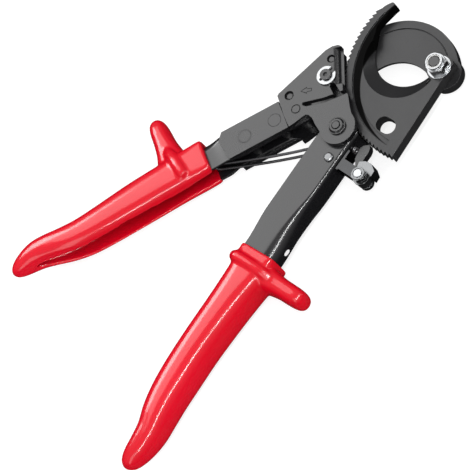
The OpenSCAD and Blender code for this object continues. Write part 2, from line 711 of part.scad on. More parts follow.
// mitred corner i of a bent strip; side is 1 for its left edge, -1 for its right
function corner(path, i, half_w, side) =
  let(dir_in = dir_of(path[max(i - 1, 0)], path[max(i, 1)]),
      dir_out = dir_of(path[min(i, len(path) - 2)], path[min(i + 1, len(path) - 1)]),
      mitre = left_of(dir_in) + left_of(dir_out),
      unit = mitre / norm(mitre))
  path[i] + side * half_w / (unit * left_of(dir_in)) * unit;
module strip(path, half_w) {
  last = len(path) - 1;
  polygon(concat([for (i = [0:last]) corner(path, i, half_w, 1)],
                 [for (i = [last:-1:0]) corner(path, i, half_w, -1)]));
}
module return_spring() {
  leg_z0 = mid_z - leg_gap / 2;
  leg_z1 = mid_z + leg_gap / 2;
  end_w = 0.96;
  color([0.55, 0.55, 0.57]) union() {
    for (z = [leg_z0, leg_z1]) {
      // one loop round the bush, a leg up to the other handle
      at_point(spring_at, z - wire_r) difference() {
        cylinder(r = loop_r + wire_r, h = 2 * wire_r);
        translate([0, 0, -1]) cylinder(r = loop_r - wire_r, h = 4);
      }
      slab(z - leg_r, z + leg_r) strip(leg_path, leg_r);
    }
    disc(leg_path[3], 0.95, leg_z0 - 0.9, leg_z1 + 0.9);
    // short end that bears inside the fixed handle
    at_point(spring_at) rotate(150) union() {
      disc([loop_r, 0], 0.6, leg_z0, leg_z1);
      translate([loop_r, -end_w / 2, mid_z - end_w / 2]) cube([6.2, end_w, end_w]);
    }
  }
}
module spring_bush() {
  color([0.75, 0.75, 0.72]) difference() {
    disc(spring_at, 2.5, chan_in0 + 1.4, chan_in1 - 1.4);
    disc(spring_at, spring_pin_r + play, 0, 40);
  }
}

fixed_handle();
fixed_grip();
fixed_blade();
blade_rivets();
pivot_bolt();
pivot_nut();
blade_screw();
blade_nut();
blade_washer();
pawl_bracket();
bracket_screw();
bracket_nut();
spring_pin();
moving_blade();
holding_pawl();
release_lever();
holding_pawl_spring();
moving_handle();
moving_grip();
head_plate_front();
head_plate_back();
handle_strap();
strap_rivets();
spacer_rivet();
feed_pawl_pin();
feed_pawl_clips();
spring_stud();
stop_pin();
feed_pawl();
feed_pawl_spring();
return_spring();
spring_bush();
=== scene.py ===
# Hand cutter: a toothed hooked blade, worked by pawls, between two red-dipped pressed handles.
# It lies flat, with z up through its thickness. The fixed handle runs from the origin along -x.
# The moving handle leaves the origin at 148 degrees, on the +y side of the fixed one.
# Sizes are in millimetres, and MM turns them into metres. Materials work in metres.
import math

import bpy
import bmesh
from mathutils import Matrix, Vector


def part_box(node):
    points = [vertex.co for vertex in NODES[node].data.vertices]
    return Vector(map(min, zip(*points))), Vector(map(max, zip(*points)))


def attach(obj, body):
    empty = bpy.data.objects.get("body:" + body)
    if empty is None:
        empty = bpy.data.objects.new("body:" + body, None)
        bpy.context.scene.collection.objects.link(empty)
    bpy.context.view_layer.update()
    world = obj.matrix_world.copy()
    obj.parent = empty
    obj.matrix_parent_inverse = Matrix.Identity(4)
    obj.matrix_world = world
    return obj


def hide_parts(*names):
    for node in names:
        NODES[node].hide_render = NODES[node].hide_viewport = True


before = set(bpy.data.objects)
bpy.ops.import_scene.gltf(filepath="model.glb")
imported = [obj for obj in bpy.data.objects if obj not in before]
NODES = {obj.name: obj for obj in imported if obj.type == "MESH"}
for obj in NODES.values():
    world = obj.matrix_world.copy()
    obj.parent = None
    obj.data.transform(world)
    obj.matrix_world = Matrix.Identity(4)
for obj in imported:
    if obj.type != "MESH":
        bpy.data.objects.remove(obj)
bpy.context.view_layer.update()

MM = 0.001
X_AXIS, Y_AXIS, Z_AXIS = Vector((1, 0, 0)), Vector((0, 1, 0)), Vector((0, 0, 1))


def centre(node):
    """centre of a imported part's box, metres"""
    low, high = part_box(node)
    return [(a + b) / 2 for a, b in zip(low, high)]


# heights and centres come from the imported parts
FIXED_Z = [corner[2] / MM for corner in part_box("fixed_handle")]
MID_Z = centre("fixed_handle")[2] / MM
SCREW_X, SCREW_Y = (c / MM for c in centre("blade_screw")[:2])

MOVING_ANGLE = math.radians(148)
MOVING_COS, MOVING_SIN = math.cos(MOVING_ANGLE), math.sin(MOVING_ANGLE)


def on_fixed(x, y, z):
    return Vector((x, y, z))


def on_moving(t, n, z):
    """t runs along the moving handle, n away from the fixed handle"""
    return Vector((t * MOVING_COS + n * MOVING_SIN, t * MOVING_SIN - n * MOVING_COS, z))


# each handle's frame: its point function, direction along it, direction across it
FIXED_FRAME = (on_fixed, X_AXIS, Y_AXIS)
MOVING_FRAME = (on_moving, Vector((MOVING_COS, MOVING_SIN, 0)), Vector((MOVING_SIN, -MOVING_COS, 0)))


# ------------------------------------------------------------------ shader helpers
class Nodes:
    """a cleared node tree and short ways to add to it; helpers return the output socket"""

    def __init__(self, owner):
        owner.use_nodes = True
        self.tree = owner.node_tree
        self.tree.nodes.clear()

    def feed(self, socket, value):
        """value is another node's socket, a plain value or an RGB colour"""
        if isinstance(value, bpy.types.NodeSocket):
            self.tree.links.new(value, socket)
        elif socket.type == "RGBA":
            socket.default_value = (*value, 1)
        else:
            socket.default_value = value

    def add(self, kind, inputs=None, **settings):
        node = self.tree.nodes.new("ShaderNode" + kind)
        for key, setting in settings.items():
            setattr(node, key, setting)
        for key, value in (inputs or {}).items():
            self.feed(node.inputs[key], value)
        return node

    def coords(self, scale=(1, 1, 1), rotation=(0, 0, 0)):
        source = self.add("TexCoord").outputs["Object"]
        return self.add("Mapping", {0: source, "Scale": scale, "Rotation": rotation}).outputs[0]

    def noise(self, place, scale, detail=4.0, rough=0.5):
        inputs = {"Scale": scale, "Detail": detail, "Roughness": rough, "Vector": place}
        return self.add("TexNoise", inputs).outputs["Fac"]

    def remap(self, value, low=0.0, high=1.0, start=0.3, end=0.7):
        """start..end becomes low..high; the default span suits noise"""
        inputs = {"From Min": start, "From Max": end, "To Min": low, "To Max": high, "Value": value}
        return self.add("MapRange", inputs).outputs["Result"]

    def mix(self, factor, first, second):
        inputs = {"Factor": factor, 6: first, 7: second}
        return self.add("Mix", inputs, data_type="RGBA").outputs[2]

    def calc(self, operation, *values, clamp=False):
        inputs = dict(enumerate(values))
        return self.add("Math", inputs, operation=operation, use_clamp=clamp).outputs[0]

    def bevel(self, radius):
        """normal with rounded edges"""
        return self.add("Bevel", {"Radius": radius}, samples=4).outputs[0]

    def edge_mask(self, rounded, gain=6.0):
        """1 along edges, where the rounded normal leaves the true one"""
        true_normal = self.add("NewGeometry").outputs["Normal"]
        dot = self.add("VectorMath", {0: rounded, 1: true_normal}, operation="DOT_PRODUCT")
        leaving = self.calc("SUBTRACT", 1.0, dot.outputs["Value"])
        return self.calc("MULTIPLY", leaving, gain, clamp=True)

    def bump(self, height, distance, strength, normal=None):
        inputs = {"Strength": strength, "Distance": distance, "Height": height}
        if normal is not None:
            inputs["Normal"] = normal
        return self.add("Bump", inputs).outputs[0]

    def painted_crevice_shade(self, distance, start, end, dark):
        """painted shade from occlusion: 1 in the open, down to dark deep in slots and under overhangs
        """
        occlusion = self.add("AmbientOcclusion", {"Distance": distance}, samples=4)
        return self.remap(occlusion.outputs["AO"], low=dark, high=1.0, start=start, end=end)

    def grain(self, broad, low, high, fine, fine_low, fine_high):
        """broad variation with a fine one added"""
        return self.calc("ADD", self.remap(broad, low=low, high=high),
                         self.remap(fine, low=fine_low, high=fine_high))


class Surface(Nodes):
    """a material with one principled shader"""

    def __init__(self, name):
        self.material = bpy.data.materials.new(name)
        super().__init__(self.material)
        output = self.add("OutputMaterial")
        self.shader = self.add("BsdfPrincipled")
        self.feed(output.inputs[0], self.shader.outputs[0])

    def finish(self, inputs):
        for key, value in inputs.items():
            self.feed(self.shader.inputs[key], value)
        return self.material


# ------------------------------------------------------------------ materials
def black_steel(name, rough_low, rough_high, worn):
    """black coat; worn adds rounded, rubbed edges and a faint orange peel"""
    coat = Surface(name)
    place = coat.coords()
    broad = coat.noise(place, scale=22.0, detail=3.0)
    speck = coat.noise(place, scale=2600.0, detail=6.0, rough=0.7)
    colour = coat.mix(coat.remap(broad), (0.006, 0.006, 0.007), (0.012, 0.012, 0.013))
    # painted shade: the coat's reflection is weakened in slots and under overhangs
    painted_occlusion = coat.painted_crevice_shade(distance=0.010, start=0.15, end=0.62, dark=0.25)
    inputs = {
        "Roughness": coat.grain(broad, rough_low, rough_high, speck, fine_low=-0.012, fine_high=0.012),
        "Specular IOR Level": coat.calc("MULTIPLY", painted_occlusion, 0.85),
    }
    if worn:
        peel = coat.noise(place, scale=900.0, detail=2.0)
        patches = coat.noise(place, scale=700.0, detail=5.0, rough=0.7)
        rounded = coat.bevel(radius=0.00028)
        edges = coat.calc("SUBTRACT", coat.edge_mask(rounded), 0.25, clamp=True)
        rubbed = coat.remap(patches, low=0.0, high=0.7, start=0.50, end=0.66)
        wear = coat.calc("MULTIPLY", edges, rubbed, clamp=True)
        colour = coat.mix(coat.calc("MULTIPLY", wear, 0.35), colour, (0.16, 0.16, 0.16))
        inputs["Metallic"] = coat.calc("MULTIPLY", wear, 0.6)
        inputs["Normal"] = coat.bump(peel, distance=0.000012, strength=0.18, normal=rounded)
    inputs["Base Color"] = colour
    return coat.finish(inputs)


def centre_distance(steel, centre_x, centre_y):
    """distance in plan from a point, mm"""
    source = steel.add("TexCoord").outputs["Object"]
    split = steel.add("SeparateXYZ", {0: source})
    across = steel.calc("SUBTRACT", split.outputs["X"], centre_x * MM)
    along = steel.calc("SUBTRACT", split.outputs["Y"], centre_y * MM)
    squared = steel.calc("ADD", steel.calc("MULTIPLY", across, across),
                         steel.calc("MULTIPLY", along, along))
    return steel.calc("MULTIPLY", steel.calc("SQRT", squared), 1000.0)


def crescent(steel):
    """painted shade mask: 1 on the dark band behind the teeth, which lies between two offset circles
    """
    to_outer = centre_distance(steel, SCREW_X, SCREW_Y)
    outer = steel.remap(to_outer, low=1.0, high=0.0, start=45.2, end=45.6)
    to_inner = centre_distance(steel, SCREW_X - 1.3, SCREW_Y - 4.8)
    inner = steel.remap(to_inner, low=0.0, high=1.0, start=44.2, end=44.6)
    return steel.calc("MULTIPLY", outer, inner, clamp=True)


def blade_steel(name, dark, light, rough_low, rough_high, band=False):
    """dark steel with streaks along the grinding; painted shade weakens its reflection in slots and
    under overhangs, and band adds painted shade on the crescent behind the teeth
    """
    steel = Surface(name)
    place = steel.coords()
    along_grind = steel.coords(scale=(260, 5200, 5200), rotation=(0, 0, math.radians(28)))
    streak = steel.noise(along_grind, scale=1.0, detail=3.0)
    broad = steel.noise(place, scale=30.0)
    fine = steel.noise(place, scale=2400.0, detail=5.0, rough=0.7)
    rounded = steel.bevel(radius=0.00022)
    edges = steel.calc("MULTIPLY", steel.edge_mask(rounded), 0.35)
    colour = steel.mix(steel.remap(broad), dark, light)
    colour = steel.mix(edges, colour, (0.30, 0.30, 0.30))
    # painted shade: reflection weakened in slots and under overhangs
    painted_occlusion = steel.painted_crevice_shade(distance=0.012, start=0.25, end=0.80, dark=0.12)
    # painted shade: the crescent behind the teeth goes near black and nearly loses its reflection
    if band:
        painted_band_shade = crescent(steel)
        band_reflection_dimming = steel.remap(painted_band_shade, low=1.0, high=0.03, start=0.0, end=1.0)
        painted_occlusion = steel.calc("MULTIPLY", painted_occlusion, band_reflection_dimming)
        colour = steel.mix(painted_band_shade, colour, (0.003, 0.003, 0.003))
    fine_bump = steel.bump(fine, distance=0.00002, strength=0.25, normal=rounded)
    return steel.finish({
        "Base Color": colour,
        "Metallic": 0.15,
        "Specular IOR Level": steel.calc("MULTIPLY", painted_occlusion, 0.6),
        "Roughness": steel.grain(streak, rough_low, rough_high, fine, fine_low=-0.03, fine_high=0.03),
        "Normal": steel.bump(streak, distance=0.00002, strength=0.25, normal=fine_bump),
    })


def zinc(name, tint):
    plate = Surface(name)
    place = plate.coords()
    broad = plate.noise(place, scale=160.0)
    fine = plate.noise(place, scale=1800.0, detail=5.0, rough=0.7)
    return plate.finish({
        "Base Color": plate.mix(plate.remap(broad), tuple(c * 0.86 for c in tint), tint),
        "Metallic": 1.0,
        "Roughness": plate.grain(broad, 0.24, 0.32, fine, fine_low=-0.02, fine_high=0.03),
        "Normal": plate.bump(fine, distance=0.00002, strength=0.3, normal=plate.bevel(radius=0.0002)),
    })


def vinyl():
    dip = Surface("dipped_vinyl_red")
    place = dip.coords()
    broad = dip.noise(place, scale=18.0, detail=3.0)
    wave = dip.noise(place, scale=95.0, detail=2.0)
    fine = dip.noise(place, scale=1500.0, rough=0.6)
    colour = dip.mix(dip.remap(broad), (0.66, 0.001, 0.012), (0.74, 0.002, 0.018))
    # painted shade: the red goes to dark red in slots and under overhangs
    painted_occlusion = dip.painted_crevice_shade(distance=0.014, start=0.10, end=0.60, dark=0.0)
    fine_bump = dip.bump(fine, distance=0.00001, strength=0.15)
    return dip.finish({
        "Base Color": dip.mix(painted_occlusion, (0.10, 0.0005, 0.002), colour),
        "Roughness": dip.grain(wave, 0.15, 0.20, fine, fine_low=-0.01, fine_high=0.02),
        "Specular IOR Level": 0.55,
        "Subsurface Weight": 0.06,
        "Subsurface Radius": (1.0, 0.12, 0.08),
        "Subsurface Scale": 0.0015,
        "Coat Weight": 0.30,
        "Coat Roughness": 0.05,
        "Normal": dip.bump(wave, distance=0.00010, strength=0.12, normal=fine_bump),
    })


def wire(name, colour, rough=0.28):
    metal = Surface(name)
    place = metal.coords()
    broad = metal.noise(place, scale=300.0)
    fine = metal.noise(place, scale=3000.0)
    return metal.finish({
        "Base Color": metal.mix(metal.remap(broad), tuple(c * 0.8 for c in colour), colour),
        "Metallic": 0.9,
        "Roughness": metal.remap(fine, low=rough - 0.05, high=rough + 0.08),
        "Normal": metal.bump(fine, distance=0.00002, strength=0.2),
    })


def nylon():
    plastic = Surface("nylon_insert")
    fine = plastic.noise(plastic.coords(), scale=900.0)
    return plastic.finish({
        "Base Color": plastic.mix(plastic.remap(fine), (0.74, 0.74, 0.72), (0.86, 0.86, 0.84)),
        "Roughness": plastic.remap(fine, low=0.38, high=0.5),
        "Normal": plastic.bump(fine, distance=0.00003, strength=0.3),
    })


BLACK = black_steel("blackened_steel_coat", rough_low=0.24, rough_high=0.31, worn=True)
# the handles' bends are modelled and need no rounded shading
PRESSED = black_steel("pressed_steel_coat", rough_low=0.19, rough_high=0.23, worn=False)
# band=True paints shade on the crescent behind the teeth
BLADE = blade_steel("toothed_blade_steel", dark=(0.014, 0.014, 0.015), light=(0.026, 0.026, 0.027),
                    rough_low=0.30, rough_high=0.38, band=True)
FIXED_BLADE = blade_steel("fixed_blade_steel", dark=(0.010, 0.010, 0.011),
                          light=(0.020, 0.020, 0.021), rough_low=0.28, rough_high=0.36)
ZINC = zinc("bright_zinc_plate", tint=(0.50, 0.51, 0.52))
ZINC_DULL = zinc("dull_zinc_plate", tint=(0.24, 0.245, 0.25))
ZINC_DARK = zinc("dark_plate", tint=(0.075, 0.076, 0.078))
RED = vinyl()
WIRE = wire("black_spring_wire", (0.10, 0.10, 0.105))
WIRE_BRIGHT = wire("bright_spring_wire", (0.45, 0.45, 0.46))
NYLON = nylon()

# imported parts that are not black
FINISHES = (
    (BLADE, ("moving_blade",)),
    (FIXED_BLADE, ("fixed_blade",)),
    (ZINC, ("blade_nut", "blade_washer", "bracket_screw", "feed_pawl_clips")),
    (ZINC_DULL, ("bracket_nut", "spring_pin", "release_lever")),
    (ZINC_DARK, ("pawl_bracket",)),
    (RED, ("fixed_grip", "moving_grip")),
    (WIRE, ("return_spring",)),
    (WIRE_BRIGHT, ("holding_pawl_spring", "feed_pawl_spring", "spring_bush")),
)
finish_of = {name: finish for finish, names in FINISHES for name in names}
for name, part in NODES.items():
    finish = finish_of.get(name, BLACK)
    if not part.material_slots:
        part.data.materials.append(finish)
    for slot in part.material_slots:
        slot.material = finish


# ------------------------------------------------------------------ mesh tools
def link_new(name, data):
    item = bpy.data.objects.new(name, data)
    bpy.context.scene.collection.objects.link(item)
    return item


def mesh_object(name, points, faces, material=None, smooth=True):
    """points in metres"""
    mesh = bpy.data.meshes.new(name)
    mesh.from_pydata([tuple(p) for p in points], [], faces)
    mesh.validate()
    item = link_new(name, mesh)
    if material:
        mesh.materials.append(material)
    if smooth:
        mesh.polygons.foreach_set("use_smooth", [True] * len(mesh.polygons))
    work = bmesh.new()
    work.from_mesh(mesh)
    bmesh.ops.recalc_face_normals(work, faces=work.faces)
    work.to_mesh(mesh)
    work.free()
    return item


def baked(item, name, material):
    """a plain mesh object of item with its modifiers applied; item goes"""
    depsgraph = bpy.context.evaluated_depsgraph_get()
    bpy.context.view_layer.update()
    mesh = bpy.data.meshes.new_from_object(item.evaluated_get(depsgraph))
    bpy.data.objects.remove(item, do_unlink=True)
    mesh.name = name
    result = link_new(name, mesh)
    mesh.materials.clear()
    mesh.materials.append(material)
    mesh.polygons.foreach_set("use_smooth", [True] * len(mesh.polygons))
    return result


def carve(item, cutter, name, material):
    """item less cutter, baked; both go"""
    boolean = item.modifiers.new("cut", "BOOLEAN")
    boolean.operation = "DIFFERENCE"
    boolean.solver = "EXACT"
    boolean.object = cutter
    result = baked(item, name, material)
    bpy.data.objects.remove(cutter, do_unlink=True)
    return result


def join(items, name):
    work = bmesh.new()
    for item in items:
        mesh = item.data.copy()
        mesh.transform(item.matrix_world)
        work.from_mesh(mesh)
        bpy.data.meshes.remove(mesh)
        bpy.data.objects.remove(item, do_unlink=True)
    mesh = bpy.data.meshes.new(name)
    work.to_mesh(mesh)
    work.free()
    return link_new(name, mesh)


def fit(item, side, replaced=None):
    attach(item, side)
    if replaced:
        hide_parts(replaced)


def superellipse(half_a, half_b, exponent, count):
    points = []
    for i in range(count):
        angle = 2 * math.pi * (i + 0.5) / count
        c, s = math.cos(angle), math.sin(angle)
        reach = (abs(c) ** exponent + abs(s) ** exponent) ** (-1 / exponent)
        points.append((half_a * c * reach, half_b * s * reach))
    return points


def catmull(keys, steps):
    """smooth samples through the key tuples"""
    samples = []
    last = len(keys) - 1
    for i in range(last):
        near = (keys[max(i - 1, 0)], keys[i], keys[i + 1], keys[min(i + 2, last)])
        for j in range(steps):
            t = j / steps
            samples.append(tuple(
                0.5 * ((2 * b) + (-a + c) * t + (2 * a - 5 * b + 4 * c - d) * t * t
                       + (-a + 3 * b - 3 * c + d) * t ** 3)
                for a, b, c, d in zip(*near)))
    samples.append(tuple(keys[-1]))
    return samples


def bridge(rows, count):
    """quads between successive closed rows of count points"""
    faces = []
    for i in range(rows - 1):
        for j in range(count):
            k = (j + 1) % count
            faces.append((i * count + j, i * count + k, (i + 1) * count + k, (i + 1) * count + j))
    return faces


def skin(name, rings, start, end, material=None):
    """closed solid over rings of points, with a fan to a middle point at each end"""
    count = len(rings[0])
    points = [p for ring in rings for p in ring]
    faces = bridge(len(rings), count)
    first, last_row = len(points), len(points) - count
    points += [start, end]
    for j in range(count):
        k = (j + 1) % count
        faces.append((first, k, j))
        faces.append((first + 1, last_row + j, last_row + k))
    return mesh_object(name, points, faces, material)


def loft(name, sections, count=64):
    """sections: (centre, across, up, half across, half up, exponent), mm"""
    rings = []
    for middle, across, up, half_a, half_b, exponent in sections:
        outline = superellipse(half_a * MM, half_b * MM, exponent, count)
        rings.append([middle * MM + across * a + up * b for a, b in outline])
    return skin(name, rings, sections[0][0] * MM, sections[-1][0] * MM)


def tube(name, path, radius, material, count=16):
    """round wire through the points (mm), turned without twist"""
    rings = []
    last = len(path) - 1
    side = (path[1] - path[0]).normalized().orthogonal().normalized()
    for i, point in enumerate(path):
        ahead = (path[min(i + 1, last)] - path[max(i - 1, 0)]).normalized()
        side = (side - ahead * side.dot(ahead)).normalized()
        up = ahead.cross(side)
        angles = [2 * math.pi * j / count for j in range(count)]
        rings.append([(point + (side * math.cos(a) + up * math.sin(a)) * radius) * MM
                      for a in angles])
    return skin(name, rings, path[0] * MM, path[-1] * MM, material)


# ------------------------------------------------------------------ grips
VOXEL = 0.00055
SMOOTH_PASSES = 22

# position along the handle, offset across it, width across, height, exponent
FIXED_BODY = [
    (-71.4, -2.3, 22.0, 19.0, 6.0), (-73.5, -2.4, 22.2, 19.4, 5.6), (-77.5, -2.5, 22.6, 19.8, 4.2),
    (-84, -2.5, 22.6, 20.6, 3.0), (-100, -2.1, 21.4, 21.0, 2.5), (-124, -1.75, 20.3, 21.0, 2.4),
    (-142, -2.4, 20.0, 20.8, 2.35), (-154, -3.35, 19.1, 20.2, 2.3), (-164, -5.0, 17.6, 19.2, 2.3),
    (-172, -6.9, 15.4, 17.4, 2.3), (-180, -7.3, 13.8, 15.2, 2.3), (-186.5, -6.9, 12.0, 12.6, 2.2),
    (-191, -6.6, 8.8, 9.0, 2.2), (-193.2, -6.4, 4.6, 4.6, 2.1), (-194.0, -6.3, 1.0, 1.0, 2.0),
]
MOVING_BODY = [
    (66.4, 23.6, 18.8, 19.0, 6.0), (68.5, 23.5, 19.2, 19.4, 5.6), (74, 23.2, 19.8, 19.8, 4.4),
    (86, 22.8, 20.4, 20.4, 3.2), (108, 21.6, 20.4, 20.6, 2.8), (128, 20.1, 18.6, 20.4, 2.7),
    (140, 19.7, 17.4, 20.0, 2.6), (150, 20.8, 16.0, 19.2, 2.6), (158, 22.4, 14.8, 17.8, 2.5),
    (165, 23.3, 13.4, 15.8, 2.4), (171, 22.7, 11.6, 13.4, 2.3), (176, 21.6, 9.0, 10.2, 2.2),
    (179.2, 20.8, 5.4, 6.4, 2.2), (180.6, 20.5, 1.4, 1.6, 2.0),
]
# tongue on the web side: offset across the handle, position along it, half length along,
# half height, exponent
FIXED_TONGUE = [
    (-4.0, -79.8, 6.6, 8.8, 3.2), (-10.5, -79.9, 6.6, 8.6, 3.2), (-15.5, -80.1, 5.8, 8.0, 3.0),
    (-21.0, -80.3, 5.0, 7.6, 2.8), (-27.0, -80.5, 4.9, 7.4, 2.7), (-32.4, -80.6, 4.7, 7.0, 2.6),
    (-35.6, -80.6, 3.9, 5.8, 2.5), (-37.1, -80.6, 2.4, 3.6, 2.2), (-37.6, -80.6, 0.6, 0.9, 2.0),
]
MOVING_TONGUE = [
    (20.0, 84.0, 6.4, 8.6, 3.2), (27.0, 84.2, 7.4, 8.5, 3.2), (32.5, 84.3, 7.8, 8.0, 3.0),
    (38.0, 84.5, 6.4, 7.5, 2.8), (44.6, 85.0, 5.2, 7.3, 2.7), (51.2, 85.3, 4.7, 7.0, 2.6),
    (55.7, 85.4, 4.0, 5.8, 2.5), (58.1, 85.4, 2.4, 3.6, 2.2), (58.8, 85.4, 0.6, 0.9, 2.0),
]
# bead over a broad face: position along, offset across, distance from mid height, radius factor
FIXED_BEAD = [
    (-79.1, 9.3, 3.5, 0.1), (-79.1, 9.0, 5.0, 0.75), (-79.1, 8.0, 6.8, 0.95), (-79.1, 5.6, 9.0, 1.0),
    (-79.2, 0.0, 9.1, 1.0), (-79.4, -6.0, 9.0, 1.0), (-79.6, -10.5, 8.2, 1.0),
    (-79.8, -14.5, 6.6, 0.9), (-80.0, -18.5, 5.2, 0.62), (-80.2, -22.0, 4.2, 0.3),
    (-80.3, -24.0, 3.6, 0.08),
]
MOVING_BEAD = [
    (79.9, 16.6, 9.0, 0.1), (79.9, 16.9, 9.0, 0.6), (80.0, 17.8, 9.0, 0.92), (80.2, 19.6, 9.0, 1.05),
    (80.9, 24.0, 9.0, 1.05), (81.8, 28.5, 8.5, 1.05), (82.8, 32.5, 7.4, 1.0), (83.7, 36.5, 6.0, 0.8),
    (84.3, 40.5, 4.6, 0.45), (84.8, 44.0, 3.6, 0.1),
]
# slot that faces the fixed handle: position along, offset of its mouth, depth, half height
MOVING_SLOT = [
    (55, 9.0, 15.9, 4.7), (69, 9.0, 15.9, 4.7), (75, 8.8, 15.6, 4.6), (83, 8.3, 14.4, 4.0),
    (92, 8.0, 14.2, 4.4), (110, 7.4, 14.8, 5.4), (128, 7.4, 13.0, 5.3), (143, 7.8, 11.4, 4.6),
    (154, 9.5, 9.8, 3.5), (162, 12.5, 7.5, 2.2), (167.5, 16.0, 4.0, 0.8),
]
SLOT_OVERRUN = 12  # how far the slot cutter stands out of the mouth


def slot_cutter(name, frame_, stations):
    place, _, across = frame_
    sections = []
    for s, mouth, depth, half_height in catmull(stations, 5):
        bottom = mouth + depth
        middle = place(s, (mouth - SLOT_OVERRUN + bottom) / 2, MID_Z)
        half_depth = (bottom - mouth + SLOT_OVERRUN) / 2
        sections.append((middle, across, Z_AXIS, half_depth, half_height, 5.0))
    return loft(name, sections, 48)


def bead(name, place, stations, face, radius):
    """round bead on the upper (face 1) or lower (face -1) side"""
    path = [place(s, offset, MID_Z + face * rise) for s, offset, rise, _ in stations]
    last = len(path) - 1
    sections = []
    for i, point in enumerate(path):
        ahead = (path[min(i + 1, last)] - path[max(i - 1, 0)]).normalized()
        side = ahead.cross(Z_AXIS)
        side = side.normalized() if side.length > 1e-6 else X_AXIS
        up = side.cross(ahead).normalized()
        thick = radius * stations[i][3]
        sections.append((point, side, up, thick, thick, 2.0))
    return loft(name, sections, 28)


def make_grip(which, frame_, body_stations, tongue_stations, bead_stations, bead_radius,
              slot_stations=None):
    """body, tongue and two beads, melted together by a voxel remesh"""
    place, along, across = frame_
    body = loft(f"{which}_body", [
        (place(s, offset, MID_Z), across, Z_AXIS, width / 2, height / 2, exponent)
        for s, offset, width, height, exponent in catmull(body_stations, 5)])
    if slot_stations:
        cutter = slot_cutter(f"{which}_slot", frame_, slot_stations)
        body = carve(body, cutter, f"{which}_cut", RED)
    tongue = loft(f"{which}_tongue", [
        (place(s, offset, MID_Z), along, Z_AXIS, half_length, half_height, exponent)
        for offset, s, half_length, half_height, exponent in catmull(tongue_stations, 4)], 40)
    beads = [bead(f"{which}_bead", place, bead_stations, face, bead_radius) for face in (1, -1)]
    grip = join([body, tongue, *beads], f"{which}_all")
    remesh = grip.modifiers.new("remesh", "REMESH")
    remesh.mode = "VOXEL"
    remesh.voxel_size = VOXEL
    remesh.adaptivity = 0.0
    soften = grip.modifiers.new("soften", "SMOOTH")
    soften.factor = 0.5
    soften.iterations = SMOOTH_PASSES
    grip = baked(grip, f"{which}_grip_vinyl", RED)
    fit(grip, f"{which}_side", f"{which}_grip")


make_grip("fixed", FIXED_FRAME, FIXED_BODY, FIXED_TONGUE, FIXED_BEAD, bead_radius=3.1)
make_grip("moving", MOVING_FRAME, MOVING_BODY, MOVING_TONGUE, MOVING_BEAD, bead_radius=3.0,
          slot_stations=MOVING_SLOT)

# ------------------------------------------------------------------ pressed handles
# Behind its split each handle is a new folded channel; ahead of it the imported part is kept.
SHEET = 1.5
LIP = 0.25  # chamfer on the leg edges
BEND_STEPS = 14
FIXED_SPLIT = -0.5
MOVING_SPLIT = 21.4


def packed_copy(node, name):
    """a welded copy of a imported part, in the tool's frame"""
    mesh = NODES[node].data.copy()
    mesh.transform(NODES[node].matrix_world)
    work = bmesh.new()
    work.from_mesh(mesh)
    bmesh.ops.remove_doubles(work, verts=work.verts, dist=2e-6)
    work.to_mesh(mesh)
    work.free()
    mesh.materials.clear()
    return link_new(name, mesh)


def block(name, place, low, high):
    """box between two corners of a handle's frame"""
    points = [place(a, b, z) * MM
              for a in (low[0], high[0]) for b in (low[1], high[1]) for z in (low[2], high[2])]
    faces = [(0, 1, 3, 2), (4, 6, 7, 5), (0, 4, 5, 1), (2, 3, 7, 6), (0, 2, 6, 4), (1, 5, 7, 3)]
    return mesh_object(name, points, faces, smooth=False)


def channel_outline(web, leg, z_low, z_high, bend, low_leg=None):
    """closed (y, z) outline: web at y = web, legs up to leg (the lower one to low_leg)"""
    low_leg = leg if low_leg is None else low_leg
    bend_z = min(bend, (z_high - z_low) / 2 - 0.2)
    inner, inner_z = max(bend - SHEET, 0.5), max(bend_z - SHEET, 0.5)
    turn = [math.pi / 2 * i / BEND_STEPS for i in range(BEND_STEPS + 1)]
    quarter = [(math.sin(a), math.cos(a)) for a in turn]
    points = [(low_leg, z_low + LIP), (low_leg - LIP, z_low)]
    points += [(web + bend - bend * s, z_low + bend_z - bend_z * c) for s, c in quarter]
    points += [(web + bend - bend * c, z_high - bend_z + bend_z * s) for s, c in quarter]
    points += [(leg - LIP, z_high), (leg, z_high - LIP),
               (leg, z_high - SHEET + LIP), (leg - LIP, z_high - SHEET)]
    points += [(web + SHEET + inner - inner * s, z_high - SHEET - inner_z + inner_z * c)
               for s, c in quarter]
    points += [(web + SHEET + inner - inner * c, z_low + SHEET + inner_z - inner_z * s)
               for s, c in quarter]
    points += [(low_leg - LIP, z_low + SHEET), (low_leg, z_low + SHEET - LIP)]
    return points


def channel(name, stations, place):
    """stations: (position along, then the channel_outline values)"""
    rows = [[place(s, y, z) * MM for y, z in channel_outline(*outline)]
            for s, *outline in stations]
    count = len(rows[0])
    faces = bridge(len(rows), count)
    # end faces are strips between the outside and the inside of the sheet
    for base in (0, (len(rows) - 1) * count):
        for j in range(count // 2 - 1):
            faces.append((base + j, base + j + 1, base + count - 2 - j, base + count - 1 - j))
    return mesh_object(name, [p for row in rows for p in row], faces)


def smooth_by_angle(item, degrees):
    work = bmesh.new()
    work.from_mesh(item.data)
    limit = math.radians(degrees)
    for edge in work.edges:
        edge.smooth = len(edge.link_faces) == 2 and edge.calc_face_angle(0.0) < limit
    for face in work.faces:
        face.smooth = True
    work.to_mesh(item.data)
    work.free()


def ease(position, start, length):
    """0 before start, 1 after start + length, smooth between"""
    t = max(0.0, min(1.0, (position - start) / length))
    return t * t * (3 - 2 * t)


